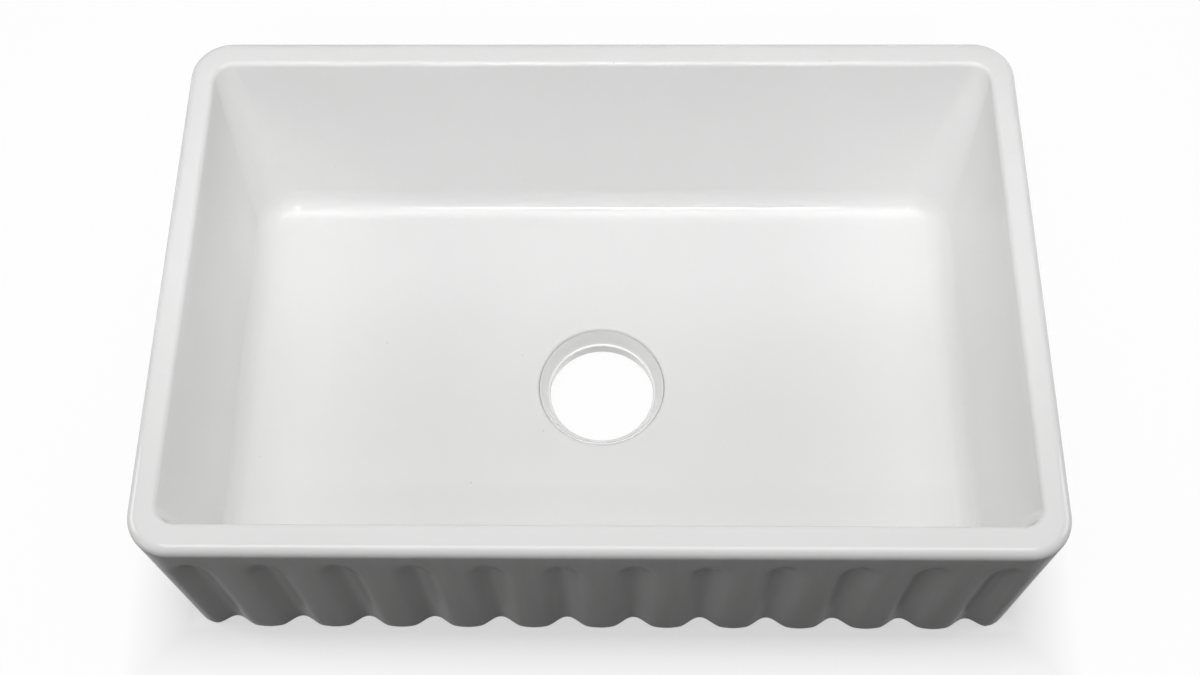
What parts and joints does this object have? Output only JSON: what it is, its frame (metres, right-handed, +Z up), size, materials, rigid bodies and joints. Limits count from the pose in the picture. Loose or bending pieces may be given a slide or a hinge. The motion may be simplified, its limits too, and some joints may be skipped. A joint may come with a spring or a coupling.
{
  "type": "farmhouse apron front sink",
  "caption": "Single-bowl farmhouse kitchen sink in white glazed fireclay, with a fluted apron front, a recessed round outlet and a see-through outlet collar set.",
  "frame": {"origin": "middle of the base, on the surface that the sink stands on", "axes": "+X to the right seen from the apron, +Y from the apron to the back, +Z up"},
  "size_m": [0.762, 0.5, 0.229],
  "materials": {
    "glaze": "gloss white glaze",
    "white_finish": "gloss white coating over brass",
    "seal_rubber": "matt pale rubber",
    "black_rubber": "matt black rubber",
    "fibre": "matt red fibre",
    "nut_plastic": "moulded grey plastic"
  },
  "bodies": {
    "root": {"sink_body": "glaze", "outlet_collar": "white_finish", "collar_seal": "seal_rubber", "lower_gasket": "black_rubber", "friction_washer": "fibre", "back_nut": "nut_plastic"}
  },
  "joints": []
}
